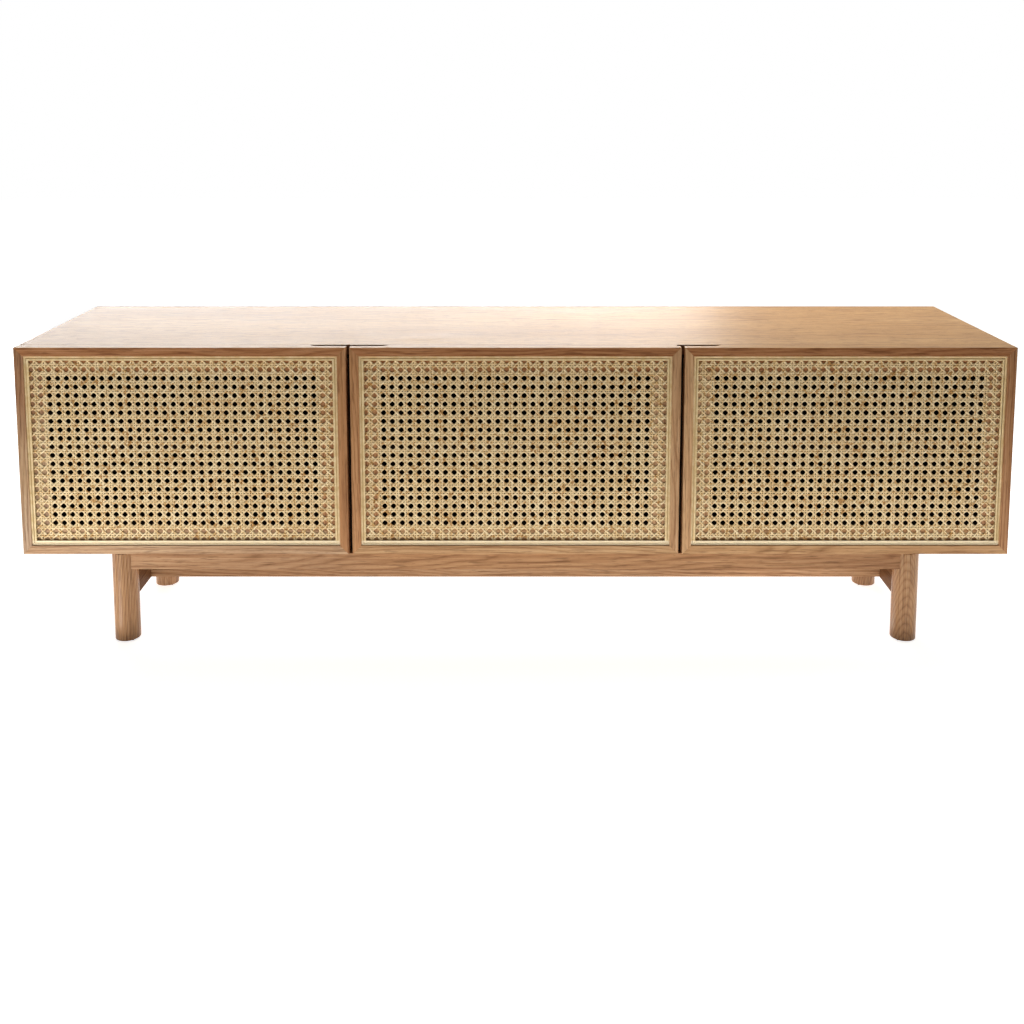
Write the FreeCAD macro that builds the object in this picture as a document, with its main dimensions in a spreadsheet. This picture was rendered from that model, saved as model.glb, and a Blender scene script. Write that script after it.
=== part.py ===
import FreeCAD, Part
import math
import os

import Sketcher
from FreeCAD import Placement, Rotation, Vector

# Low media console with three cane doors, in millimetres.
# X runs to the right, Y from the doors to the back, Z up from the floor.
# The origin is on the floor, under the middle of the console.

doc = FreeCAD.newDocument("media_console")

# Driving dimensions
DIMENSIONS = {
    "overall_width": 1800,
    "overall_depth": 400,
    "overall_height": 555,
    "board_thickness": 18,
    "case_bottom": 168.5,
    "back_thickness": 6,
    "back_rebate": 8,
    "cable_slot_length": 110,
    "cable_slot_height": 44,
    "cable_slot_rise": 70,
    "shelf_thickness": 16,
    "shelf_level": 362,
    "shelf_setback": 34,
    "shelf_play": 1,
    "support_reach": 12,
    "support_drop": 18,
    "support_width": 14,
    "support_metal": 2.5,
    "support_inset": 45,
    "leg_diameter": 46,
    "leg_side_inset": 177,
    "leg_front_inset": 24,
    "leg_spacing": 235,
    "glide_side": 30,
    "glide_thickness": 2,
    "rail_depth": 33,
    "rail_height": 30.5,
    "beam_thickness": 20,
    "beam_height": 100.5,
    "door_thickness": 24,
    "door_back_gap": 0.5,
    "door_side_gap": 7,
    "door_bottom": 170,
    "member_width": 50,
    "lip_width": 16,
    "cane_recess": 7,
    "bead_recess": 2.5,
    "bead_width": 8.4,
    "bead_groove": 1.8,
    "bead_groove_depth": 1,
    "cane_pitch": 15.9,
    "strand_width": 3.2,
    "strand_thickness": 0.5,
    "strand_pair_offset": 1.95,
    "cane_play": 0.2,
    "scoop_length": 71.5,
    "scoop_depth": 9.7,
    "scoop_drop": 25,
    "scoop_end_round": 21.5,
    "scoop_slope": 6,
    "notch_length": 5.7,
    "relief_width": 6.5,
    "relief_depth": 3.5,
    "hinge_inset": 75,
    "cup_diameter": 35,
    "cup_depth": 15.6,
    "cup_edge": 3,
    "cup_wall": 0.9,
    "cup_play": 0.1,
    "flange_thickness": 1.4,
    "flange_width": 20,
    "flange_length": 60,
    "pin_edge": 8.5,
    "pin_setback": 12.3,
    "pin_diameter": 3,
    "pin_length": 22,
    "pin_play": 0.05,
    "barrel_diameter": 5.2,
    "arm_thickness": 3,
    "arm_width": 8,
    "arm_offset": 22.5,
    "arm_length": 84,
    "arm_crank": 29,
    "plate_thickness": 4.5,
    "plate_length": 52,
    "plate_height": 34,
    "plate_bar": 14,
    "plate_wing": 18,
    "plate_setback": 32,
    "bumper_side": 10,
    "bumper_thickness": 2.4,
    "bumper_recess": 2.2,
    "bumper_inset": 90,
}

sheet = doc.addObject("Spreadsheet::Sheet", "Sizes")
for row, (alias, number) in enumerate(DIMENSIONS.items(), start=1):
    sheet.set(f"A{row}", alias)
    sheet.set(f"B{row}", str(number))
    sheet.setAlias(f"B{row}", alias)
doc.recompute()


class Size:
    """A length, kept as a number and as the sheet expression that gives it."""

    def __init__(self, value, text):
        self.value = value
        self.text = text

    def joined(self, other, sign, value):
        return Size(value, f"({self.text} {sign} {as_size(other).text})")

    def __add__(self, other):
        return self.joined(other, "+", self.value + as_size(other).value)

    def __sub__(self, other):
        return self.joined(other, "-", self.value - as_size(other).value)

    def __mul__(self, other):
        return self.joined(other, "*", self.value * as_size(other).value)

    def __truediv__(self, other):
        return self.joined(other, "/", self.value / as_size(other).value)

    def __neg__(self):
        return self * -1


def as_size(number):
    return number if isinstance(number, Size) else Size(number, f"({number})")


def size(alias):
    return Size(float(sheet.get(alias)), f"Sizes.{alias}")


# Lengths worked out from the sheet, each written once
ZERO = as_size(0)
SPARE = as_size(2)
half_width = size("overall_width") / 2
front = size("overall_depth") / -2
back = size("overall_depth") / 2
top = size("overall_height")
board = size("board_thickness")
case_bottom = size("case_bottom")
case_front = front + size("door_thickness") + size("door_back_gap")
case_depth = back - case_front
case_height = top - case_bottom
inside_bottom = case_bottom + board
inside_height = case_height - board * 2
door_back = front + size("door_thickness")
door_bottom = size("door_bottom")
door_height = top - door_bottom
door_width = (size("overall_width") - size("door_side_gap") * 2) / 3
divider_x = (door_width + size("door_side_gap")) / 2
leg_x = half_width - size("leg_side_inset")
front_leg_y = front + size("leg_front_inset")
rear_leg_y = front_leg_y + size("leg_spacing")

RIGHT = Vector(1, 0, 0)
FORWARD = Vector(0, -1, 0)
BACKWARD = Vector(0, 1, 0)
UP = Vector(0, 0, 1)
FACING_FRONT = Rotation(RIGHT, 90)
FACING_RIGHT = Rotation(Vector(1, 1, 1), 120)

nodes = {}


# Drawing helpers
def name_node(label, item):
    """Gives a finished sub-part its label and lists it for export."""
    item.Label = label
    nodes[label] = item
    return item


def bind(item, **sizes):
    for name, length in sizes.items():
        item.setExpression(name, as_size(length).text)


def place(item, x, y, z, rotation=None):
    """Puts an object at sheet-driven coordinates."""
    item.Placement = Placement(Vector(0, 0, 0), rotation or Rotation())
    for axis, length in zip("xyz", (x, y, z)):
        item.setExpression(f"Placement.Base.{axis}", as_size(length).text)
    return item


def new_body(label):
    body = doc.addObject("PartDesign::Body", label)
    body.Label = label
    return body


def new_sketch(body, name, level=ZERO):
    """A sketch on the body's XY plane, raised to a level."""
    plane = next(item for item in body.Origin.OriginFeatures if item.Role == "XY_Plane")
    sketch = body.newObject("Sketcher::SketchObject", name)
    sketch.AttachmentSupport = [(plane, "")]
    sketch.MapMode = "FlatFace"
    sketch.setExpression("AttachmentOffset.Base.z", level.text)
    return sketch


def pin_down(sketch, geometry, point, x, y):
    """Holds a sketch point at sheet-driven coordinates."""
    for kind, length in (("DistanceX", x), ("DistanceY", y)):
        length = as_size(length)
        index = sketch.addConstraint(Sketcher.Constraint(kind, -1, 1, geometry, point, length.value))
        sketch.renameConstraint(index, f"{kind}_{geometry}")
        sketch.setExpression(f"Constraints.{kind}_{geometry}", length.text)


def draw_outline(sketch, points):
    """A closed outline of straight lines through sheet-driven corners."""
    first = sketch.GeometryCount
    corners = [Vector(as_size(x).value, as_size(y).value, 0) for x, y in points]
    count = len(corners)
    for i in range(count):
        sketch.addGeometry(Part.LineSegment(corners[i], corners[(i + 1) % count]))
    for i in range(count):
        following = first + (i + 1) % count
        sketch.addConstraint(Sketcher.Constraint("Coincident", first + i, 2, following, 1))
    for i, (x, y) in enumerate(points):
        pin_down(sketch, first + i, 1, x, y)


def draw_rectangle(sketch, x0, y0, x1, y1):
    draw_outline(sketch, [(x0, y0), (x1, y0), (x1, y1), (x0, y1)])


def draw_circle(sketch, x, y, diameter):
    centre = Vector(as_size(x).value, as_size(y).value, 0)
    index = sketch.addGeometry(Part.Circle(centre, UP, diameter.value / 2))
    pin_down(sketch, index, 3, x, y)
    held = sketch.addConstraint(Sketcher.Constraint("Diameter", index, diameter.value))
    sketch.renameConstraint(held, f"Diameter_{index}")
    sketch.setExpression(f"Constraints.Diameter_{index}", diameter.text)


def extrude(body, kind, sketch, length, reverse=False, both_ways=False):
    """A Pad or a Pocket, checked to have changed the solid."""
    before = body.Shape.Volume if body.Tip else 0
    feature = body.newObject(f"PartDesign::{kind}", f"{body.Name}_{kind}")
    feature.Profile = sketch
    feature.SideType = "Symmetric" if both_ways else "One side"
    feature.Reversed = reverse
    bind(feature, Length=length)
    doc.recompute()
    grown = body.Shape.Volume - before
    if (grown if kind == "Pad" else -grown) < 1e-3:
        raise RuntimeError(f"{feature.Name} changes nothing")
    return feature


def ease_edges(body, kind, wanted, **sizes):
    """A Fillet or a Chamfer on the edges of the body that the test picks."""
    tip = body.Tip
    names = [f"Edge{i}" for i, edge in enumerate(tip.Shape.Edges, start=1) if wanted(edge)]
    feature = body.newObject(f"PartDesign::{kind}", f"{body.Name}_{kind}")
    feature.Base = (tip, names)
    bind(feature, **sizes)
    doc.recompute()
    return feature


def make_box(label, x, y, z, wide, deep, high):
    box = doc.addObject("Part::Box", label)
    bind(box, Length=wide, Width=deep, Height=high)
    return place(box, x, y, z)


def make_cylinder(label, x, y, z, diameter, high):
    cylinder = doc.addObject("Part::Cylinder", label)
    bind(cylinder, Radius=diameter / 2, Height=high)
    return place(cylinder, x, y, z)


def make_group(label, items):
    """Like pieces of one kind, kept as separate solids of one node."""
    group = doc.addObject("Part::Compound", label)
    group.Links = items
    return name_node(label, group)


def cut(label, base, tools):
    """The base less one or more other solids, which are kept for other cuts."""
    joined = doc.addObject("Part::Compound", f"{base.Name}_tools")
    joined.Links = tools
    result = doc.addObject("Part::Cut", f"{base.Name}_cut")
    result.Base = base
    result.Tool = joined
    result.Label = label
    return result


def mitred_body(label, length, width, thickness):
    """A board with 45 degree ends: its long edge lies on X, its short edge at Y = width."""
    body = new_body(label)
    sketch = new_sketch(body, f"{label}_outline")
    corners = [(0, 0), (length, 0), (length - width, width), (width, width)]
    draw_outline(sketch, corners)
    extrude(body, "Pad", sketch, thickness)
    return body


def ring_corners(left, right, low, high, depth):
    """The starting corner of each mitred piece of a frame, going round as seen from the front."""
    return {
        "bottom": (left, depth, low, 0),
        "right": (right, depth, low, 90),
        "top": (right, depth, high, 180),
        "left": (left, depth, high, 270),
    }


def seat_in_ring(body, corner):
    x, y, z, turn = corner
    place(body, x, y, z, Rotation(FORWARD, turn) * FACING_FRONT)


# Case
def make_case_panels():
    """Four boards mitred together, with a rebate round the back for the back panels."""
    corners = ring_corners(-half_width, half_width, case_bottom, top, back)
    names = {
        "bottom": "bottom_panel",
        "right": "right_side_panel",
        "top": "top_panel",
        "left": "left_side_panel",
    }
    for side, label in names.items():
        length = case_height if side in ("left", "right") else size("overall_width")
        body = mitred_body(label, length, board, case_depth)
        rebate = new_sketch(body, f"{label}_rebate", size("back_rebate"))
        draw_rectangle(rebate, -SPARE, board / 2, length + SPARE, board + SPARE)
        extrude(body, "Pocket", rebate, size("back_rebate"))
        seat_in_ring(body, corners[side])
        name_node(label, body)


def make_dividers():
    depth = case_depth - size("back_rebate")
    for side, x in (("left", -divider_x), ("right", divider_x)):
        label = f"{side}_divider"
        box = make_box(label, x - board / 2, case_front, inside_bottom, board, depth, inside_height)
        name_node(label, box)


def make_back_panel(bay, left, right):
    """A thin panel in the case's rebate, with a rounded slot for cables."""
    label = f"{bay}_back_panel"
    wide = right - left
    high = case_height - board
    body = new_body(label)
    outline = new_sketch(body, f"{label}_outline")
    draw_rectangle(outline, 0, 0, wide, high)
    extrude(body, "Pad", outline, size("back_thickness"))
    slot = new_sketch(body, f"{label}_slot")
    middle = wide / 2
    half_slot = size("cable_slot_length") / 2
    low = size("cable_slot_rise")
    draw_rectangle(slot, middle - half_slot, low, middle + half_slot, low + size("cable_slot_height"))
    extrude(body, "Pocket", slot, size("back_thickness"), reverse=True)

    def in_slot_corner(edge):
        """The short edges through the panel, away from its outer corners."""
        centre = edge.CenterOfMass
        through = abs(edge.tangentAt(edge.FirstParameter).z) > 0.9
        return through and 1 < centre.x < wide.value - 1

    ease_edges(body, "Fillet", in_slot_corner, Radius=size("cable_slot_height") * 0.48)
    panel_face = back - size("back_rebate") + size("back_thickness")
    place(body, left, panel_face, case_bottom + board / 2, FACING_FRONT)
    name_node(label, body)


def make_shelf(bay, left, right):
    """A loose shelf on four angle supports. Returns the supports."""
    play = size("shelf_play")
    shelf_front = case_front + size("shelf_setback")
    depth = back - size("back_rebate") - play - shelf_front
    underside = size("shelf_level") - size("shelf_thickness")
    label = f"{bay}_shelf"
    wide = right - left - play * 2
    box = make_box(label, left + play, shelf_front, underside, wide, depth, size("shelf_thickness"))
    name_node(label, box)

    supports = []
    inset = size("support_inset")
    for y in (shelf_front + inset, shelf_front + depth - inset):
        for side, wall, turn in (("left", left, 0), ("right", right, 180)):
            body = new_body(f"{bay}_{side}_support")
            profile = new_sketch(body, f"{bay}_{side}_support_profile")
            metal = size("support_metal")
            reach = size("support_reach")
            drop = size("support_drop")
            corners = [(0, 0), (reach, 0), (reach, -metal), (metal, -metal), (metal, -drop), (0, -drop)]
            draw_outline(profile, corners)
            extrude(body, "Pad", profile, size("support_width"), both_ways=True)
            place(body, wall, y, underside, Rotation(UP, turn) * FACING_FRONT)
            supports.append(body)
    return supports


def make_bays():
    bays = {
        "left": (-half_width + board, -divider_x - board / 2),
        "centre": (-divider_x + board / 2, divider_x - board / 2),
        "right": (divider_x + board / 2, half_width - board),
    }
    panel_ends = [-half_width + board / 2, -divider_x, divider_x, half_width - board / 2]
    supports = []
    for i, (bay, (left, right)) in enumerate(bays.items()):
        make_back_panel(bay, panel_ends[i], panel_ends[i + 1])
        supports += make_shelf(bay, left, right)
    make_group("shelf_supports", supports)


# Base
def make_leg(label, x, y):
    """A plain round leg."""
    body = new_body(label)
    section = new_sketch(body, f"{label}_section")
    draw_circle(section, 0, 0, size("leg_diameter"))
    extrude(body, "Pad", section, case_bottom - size("glide_thickness"))
    place(body, x, y, size("glide_thickness"))
    return name_node(label, body)


def make_base():
    """Legs, rails shaped to the legs' round faces, side rails and a centre beam."""
    legs = {}
    for depth_name, y in (("front", front_leg_y), ("rear", rear_leg_y)):
        for side, x in (("left", -leg_x), ("right", leg_x)):
            legs[depth_name, side] = make_leg(f"{depth_name}_{side}_leg", x, y)

    rail_depth = size("rail_depth")
    rail_height = size("rail_height")
    for depth_name, y in (("front", front_leg_y), ("rear", rear_leg_y)):
        label = f"{depth_name}_rail"
        low = case_bottom - rail_height
        bar = make_box(f"{label}_bar", -leg_x, y - rail_depth / 2, low, leg_x * 2, rail_depth, rail_height)
        name_node(label, cut(label, bar, [legs[depth_name, "left"], legs[depth_name, "right"]]))

    thick = size("beam_thickness")
    beam_height = size("beam_height")
    beam_low = case_bottom - beam_height
    for side, x in (("left", -leg_x), ("right", leg_x)):
        label = f"{side}_side_rail"
        run = size("leg_spacing")
        bar = make_box(f"{label}_bar", x - thick / 2, front_leg_y, beam_low, thick, run, beam_height)
        name_node(label, cut(label, bar, [legs["front", side], legs["rear", side]]))

    span = leg_x * 2 - thick
    middle_y = front_leg_y + size("leg_spacing") / 2 - thick / 2
    beam = make_box("centre_beam", span / -2, middle_y, beam_low, span, thick, beam_height)
    name_node("centre_beam", beam)

    glides = []
    side = size("glide_side")
    for y in (front_leg_y, rear_leg_y):
        for x in (-leg_x, leg_x):
            corner = (x - side / 2, y - side / 2, ZERO)
            glides.append(make_box("glide", *corner, side, side, size("glide_thickness")))
    make_group("foot_glides", glides)


# Doors
def cane_strands():
    """The webbing of one door about its centre, in the XZ plane with its front at Y = 0.

    Pairs of upright and level strands cross between the holes, and two sets of diagonals
    pass between neighbouring holes, which makes each hole eight-sided. The four sets lie
    in four layers that touch.
    """
    pitch = size("cane_pitch").value
    width = size("strand_width").value
    thick = size("strand_thickness").value
    offset = size("strand_pair_offset").value
    inset = size("lip_width").value + size("cane_play").value
    half_x = door_width.value / 2 - inset
    half_z = door_height.value / 2 - inset

    def upright(x, layer):
        return Part.makeBox(width, thick, half_z * 2, Vector(x - width / 2, layer * thick, -half_z))

    def level(z, layer):
        return Part.makeBox(half_x * 2, thick, width, Vector(-half_x, layer * thick, z - width / 2))

    uprights = []
    levels = []
    for k in range(-math.ceil(half_x / pitch), math.ceil(half_x / pitch) + 1):
        for shift in (-offset, offset):
            x = (k + 0.5) * pitch + shift
            z = k * pitch + shift
            if abs(x) + width / 2 <= half_x:
                uprights.append(upright(x, 2))
            if abs(z) + width / 2 <= half_z:
                levels.append(level(z, 1))

    reach = half_x + half_z
    sheet_box = Part.makeBox(half_x * 2, thick * 4, half_z * 2, Vector(-half_x, 0, -half_z))
    diagonals = []
    for slope, layer in ((1, 0), (-1, 3)):
        for m in range(-math.ceil(reach / pitch), math.ceil(reach / pitch) + 1):
            corner = Vector(-reach, layer * thick, -width / 2)
            strip = Part.makeBox(reach * 2, thick, width, corner)
            strip.rotate(Vector(0, 0, 0), FORWARD, 45 * slope)
            strip.translate(Vector(m * pitch, 0, 0))
            clipped = strip.common(sheet_box)
            if clipped.Solids and clipped.Volume > width * width * thick:
                diagonals.append(clipped.Solids[0])
    return Part.makeCompound(uprights + levels + diagonals)


def make_scoop(door, free_edge, inward):
    """The finger scoop, as the solid that it takes out of the back of a door's top corner."""
    length = size("scoop_length")
    body = new_body(f"{door}_scoop")
    plan = new_sketch(body, f"{door}_scoop_plan")
    floor_y = door_back - size("scoop_depth")
    end_x = free_edge + length * inward
    behind_y = floor_y + size("scoop_end_round") + SPARE
    draw_rectangle(plan, free_edge - SPARE * inward, floor_y, end_x, behind_y)
    extrude(body, "Pad", plan, size("scoop_drop") + SPARE)

    def at_end(edge):
        centre = edge.CenterOfMass
        upright = abs(edge.tangentAt(edge.FirstParameter).z) > 0.9
        return upright and abs(centre.x - end_x.value) < 1 and abs(centre.y - floor_y.value) < 1

    ease_edges(body, "Fillet", at_end, Radius=size("scoop_end_round"))

    def along_floor(edge):
        centre = edge.CenterOfMass
        inside = abs(centre.x - free_edge.value) < length.value + 1e-3
        behind = centre.y < door_back.value
        return edge.BoundBox.ZMax < 1e-3 and inside and behind and edge.Length > length.value / 2

    ease_edges(body, "Chamfer", along_floor, Size=size("scoop_slope"))
    place(body, ZERO, ZERO, top - size("scoop_drop"))
    return body


def make_notch(door, edge, inward):
    """A short notch beside a hinge edge, as deep as the scoop that meets it on the next door."""
    depth = size("scoop_depth")
    drop = size("scoop_drop")
    x = edge - SPARE if inward > 0 else edge - size("notch_length")
    sides = (size("notch_length") + SPARE, depth + SPARE, drop + SPARE)
    return make_box(f"{door}_notch", x, door_back - depth, top - drop, *sides)


def make_relief(door, edge, inward):
    """The bevel along the back of a hinge edge, which lets the door swing close to the case."""
    wide = size("relief_width") * inward
    deep = size("relief_depth")
    over = SPARE * deep / size("relief_width")
    outside = edge - SPARE * inward
    body = new_body(f"{door}_relief")
    plan = new_sketch(body, f"{door}_relief_plan")
    corners = [(outside, door_back - deep - over), (edge + wide + SPARE * inward, door_back + over)]
    draw_outline(plan, corners + [(outside, door_back + over)])
    extrude(body, "Pad", plan, door_height + SPARE * 2)
    return place(body, ZERO, ZERO, door_bottom - SPARE)


def make_door_frame(door, left, right, hinge_side, tools):
    """Four mitred members with a rebate for the webbing; the hinge stile is bored for cups.

    The tools are the solids that shape the door's edges: those that each member meets cut it.
    """
    corners = ring_corners(left, right, door_bottom, top, door_back)
    names = {"bottom": "bottom_rail", "right": "right_stile", "top": "top_rail", "left": "left_stile"}
    free_side = "left" if hinge_side == "right" else "right"
    for side, piece in names.items():
        label = f"{door}_{piece}"
        length = door_height if side in ("left", "right") else door_width
        body = mitred_body(label, length, size("member_width"), size("door_thickness"))
        rebate = new_sketch(body, f"{label}_rebate", size("door_thickness"))
        lip = size("lip_width")
        draw_rectangle(rebate, -SPARE, lip, length + SPARE, size("member_width") + SPARE)
        extrude(body, "Pocket", rebate, size("cane_recess"))
        if side == hinge_side:
            bores = new_sketch(body, f"{label}_cup_bores")
            across = size("cup_edge") + size("cup_diameter") / 2
            for along in (size("hinge_inset"), length - size("hinge_inset")):
                draw_circle(bores, along, across, size("cup_diameter"))
            extrude(body, "Pocket", bores, size("cup_depth") + size("cup_play"), reverse=True)
            seats = new_sketch(body, f"{label}_flange_seats")
            half_long = size("flange_length") / 2 + size("cup_play")
            half_wide = size("flange_width") / 2 + size("cup_play")
            for along in (size("hinge_inset"), length - size("hinge_inset")):
                near = across - half_wide
                draw_rectangle(seats, along - half_long, near, along + half_long, across + half_wide)
            extrude(body, "Pocket", seats, size("flange_thickness") + size("cup_play"), reverse=True)
        if side in ("top", "bottom"):
            recess = new_sketch(body, f"{label}_bumper_recess")
            from_start = (side == "top") == (free_side == "right")
            along = size("bumper_inset") if from_start else length - size("bumper_inset")
            half_side = size("bumper_side") / 2
            low = board / 2 - half_side
            draw_rectangle(recess, along - half_side, low, along + half_side, board / 2 + half_side)
            extrude(body, "Pocket", recess, size("bumper_recess"), reverse=True)
        seat_in_ring(body, corners[side])
        body.Label = f"{label}_blank"
        name_node(label, cut(label, body, tools[side]))


def make_beads(door, left, right):
    """Four mitred strips that hold the webbing's edge, each with a fine groove along it."""
    lip = size("lip_width")
    thick = size("cane_recess") - size("bead_recess") - size("strand_thickness") * 4
    seat = front + size("bead_recess") + thick
    corners = ring_corners(left + lip, right - lip, door_bottom + lip, top - lip, seat)
    strips = []
    for side, corner in corners.items():
        label = f"{door}_{side}_bead"
        length = (door_height if side in ("left", "right") else door_width) - lip * 2
        body = mitred_body(label, length, size("bead_width"), thick)
        groove = new_sketch(body, f"{label}_groove", thick)
        middle = size("bead_width") / 2
        half_groove = size("bead_groove") / 2
        draw_rectangle(groove, -SPARE, middle - half_groove, length + SPARE, middle + half_groove)
        extrude(body, "Pocket", groove, size("bead_groove_depth"))
        seat_in_ring(body, corner)
        strips.append(body)
    make_group(f"{door}_cane_bead", strips)


def make_cup(label, edge, level, turn):
    """A hinge cup with a screw flange, sunk flush in the back of a stile."""
    body = new_body(label)
    across = size("cup_edge") + size("cup_diameter") / 2
    outside = size("cup_diameter") - size("cup_play") * 2
    wall = new_sketch(body, f"{label}_wall")
    draw_circle(wall, across, 0, outside)
    extrude(body, "Pad", wall, size("cup_depth"))
    flange = new_sketch(body, f"{label}_flange")
    half_width_of_flange = size("flange_width") / 2
    half_length = size("flange_length") / 2
    low_x = across - half_width_of_flange
    draw_rectangle(flange, low_x, -half_length, across + half_width_of_flange, half_length)
    extrude(body, "Pad", flange, size("flange_thickness"))
    hollow = new_sketch(body, f"{label}_hollow")
    draw_circle(hollow, across, 0, outside - size("cup_wall") * 2)
    extrude(body, "Pocket", hollow, size("cup_depth") - size("cup_wall"), reverse=True)
    place(body, edge, door_back, level, Rotation(BACKWARD, turn) * FACING_FRONT)
    return body


def make_arm(label, edge, level, turn, wall):
    """A hinge arm: a barrel on the pin, a neck inside the cup, and a bar along the plate."""
    body = new_body(label)
    pin_x = size("pin_edge")
    pin_y = size("pin_setback")
    metal = size("arm_thickness")
    neck_front = pin_y - metal / 2
    neck_back = pin_y + metal / 2
    bend = size("arm_offset")
    bar = wall + size("plate_thickness")
    end = size("arm_length")
    crank = size("arm_crank")
    corners = [(pin_x, neck_front), (bend + metal, neck_front)]
    if abs(bar.value - bend.value) < 1e-6:
        corners += [(bend + metal, end), (bend, end)]
    else:
        corners += [(bend + metal, crank + metal), (bar + metal, crank + metal), (bar + metal, end)]
        corners += [(bar, end), (bar, crank), (bend, crank)]
    corners += [(bend, neck_back), (pin_x, neck_back)]
    plan = new_sketch(body, f"{label}_plan")
    draw_outline(plan, corners)
    extrude(body, "Pad", plan, size("arm_width"), both_ways=True)
    barrel = new_sketch(body, f"{label}_barrel")
    draw_circle(barrel, pin_x, pin_y, size("barrel_diameter"))
    extrude(body, "Pad", barrel, size("arm_width"), both_ways=True)
    bore = new_sketch(body, f"{label}_bore")
    draw_circle(bore, pin_x, pin_y, size("pin_diameter") + size("pin_play") * 2)
    extrude(body, "Pocket", bore, size("arm_width") + SPARE, both_ways=True)
    place(body, edge, front, level, Rotation(BACKWARD, turn))
    return body


def make_pin_seat(label, x, y, low):
    """The square holes in a cup's wall that hold the ends of its pin."""
    side = size("pin_diameter")
    return make_box(label, x - side / 2, y - side / 2, low, side, side, size("pin_length"))


def make_plate(label, x, level):
    """A cross-shaped mounting plate: a bar under the arm, and two wings for its screws."""
    body = new_body(label)
    outline = new_sketch(body, f"{label}_outline")
    half_bar = size("plate_bar") / 2
    half_height = size("plate_height") / 2
    length = size("plate_length")
    wing_start = (length - size("plate_wing")) / 2
    wing_end = wing_start + size("plate_wing")
    corners = [(0, -half_bar), (wing_start, -half_bar), (wing_start, -half_height)]
    corners += [(wing_end, -half_height), (wing_end, -half_bar), (length, -half_bar)]
    corners += [(length, half_bar), (wing_end, half_bar), (wing_end, half_height)]
    corners += [(wing_start, half_height), (wing_start, half_bar), (0, half_bar)]
    draw_outline(outline, corners)
    extrude(body, "Pad", outline, size("plate_thickness"))
    return place(body, x, front + size("plate_setback"), level, FACING_RIGHT)


def make_hinges(door, edge, inward, wall, relief):
    """Two cup hinges on one edge of a door; wall is where the case's board lies from that edge."""
    turn = 0 if inward > 0 else 180
    cups, pins, arms, plates = [], [], [], []
    pin_x = edge + size("pin_edge") * inward
    pin_y = front + size("pin_setback")
    inset = size("hinge_inset")
    for place_name, level in (("lower", door_bottom + inset), ("upper", top - inset)):
        label = f"{door}_{place_name}"
        pin_low = level - size("pin_length") / 2
        pin = make_cylinder(f"{label}_pin", pin_x, pin_y, pin_low, size("pin_diameter"), size("pin_length"))
        pins.append(pin)
        blank = make_cup(f"{label}_cup_blank", edge, level, turn)
        pin_seat = make_pin_seat(f"{label}_pin_seat", pin_x, pin_y, pin_low)
        cups.append(cut(f"{label}_cup", blank, [pin_seat, relief]))
        arms.append(make_arm(f"{label}_arm", edge, level, turn, wall))
        plate_x = edge + wall * inward
        if inward < 0:
            plate_x = plate_x - size("plate_thickness")
        plates.append(make_plate(f"{label}_plate", plate_x, level))
    make_group(f"{door}_hinge_cups", cups)
    make_group(f"{door}_hinge_pins", pins)
    make_group(f"{door}_hinge_arms", arms)
    make_group(f"{door}_hinge_plates", plates)


def make_bumpers(door, free_edge, inward):
    """Two soft pads let into the back of a door, opposite the case's front edges."""
    side = size("bumper_side")
    x = free_edge + size("bumper_inset") * inward - side / 2
    y = door_back - size("bumper_recess")
    pads = []
    for z in (door_bottom + board / 2, top - board / 2):
        pads.append(make_box(f"{door}_bumper", x, y, z - side / 2, side, size("bumper_thickness"), side))
    make_group(f"{door}_bumpers", pads)


def make_doors():
    """The left door hangs on its left edge, the other two on their right edges."""
    strands = cane_strands()
    step = door_width + size("door_side_gap")
    outer_wall = board
    divider_wall = board / 2 - size("door_side_gap") / 2
    doors = {
        "left_door": (-step, "left", outer_wall),
        "middle_door": (ZERO, "right", divider_wall),
        "right_door": (step, "right", outer_wall),
    }
    for door, (middle, hinge_side, wall) in doors.items():
        left = middle - door_width / 2
        right = middle + door_width / 2
        if hinge_side == "left":
            hinge_edge, free_edge, free_side, inward = left, right, "right", 1
        else:
            hinge_edge, free_edge, free_side, inward = right, left, "left", -1
        scoop = make_scoop(door, free_edge, -inward)
        relief = make_relief(door, hinge_edge, inward)
        tools = {"top": [scoop, relief], "bottom": [relief], hinge_side: [relief], free_side: [scoop]}
        if door == "middle_door":
            notch = make_notch(door, hinge_edge, inward)
            tools["top"].append(notch)
            tools[hinge_side].append(notch)
        make_door_frame(door, left, right, hinge_side, tools)
        make_beads(door, left, right)
        make_hinges(door, hinge_edge, inward, wall, relief)
        make_bumpers(door, free_edge, -inward)
        webbing = doc.addObject("Part::Feature", f"{door}_cane")
        webbing.Shape = strands
        cane_front = front + size("cane_recess") - size("strand_thickness") * 4
        place(webbing, middle, cane_front, door_bottom + door_height / 2)
        name_node(f"{door}_cane_webbing", webbing)


def check_and_export():
    """Stops on a failed object or shape, then writes one STEP file for each sub-part."""
    doc.recompute()
    for item in doc.Objects:
        if {"Invalid", "Error"} & set(item.State):
            raise RuntimeError(f"{item.Label} failed: {item.State}")
    for label, item in nodes.items():
        if item.Shape.isNull() or not item.Shape.isValid():
            raise RuntimeError(f"{label} has no valid shape")
    os.makedirs("parts", exist_ok=True)
    for label, item in nodes.items():
        item.Shape.exportStep(f"parts/{label}.step")
    print(f"{len(nodes)} sub-parts written")


make_case_panels()
make_dividers()
make_bays()
make_base()
make_doors()
check_and_export()
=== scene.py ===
import math
import random

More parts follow.
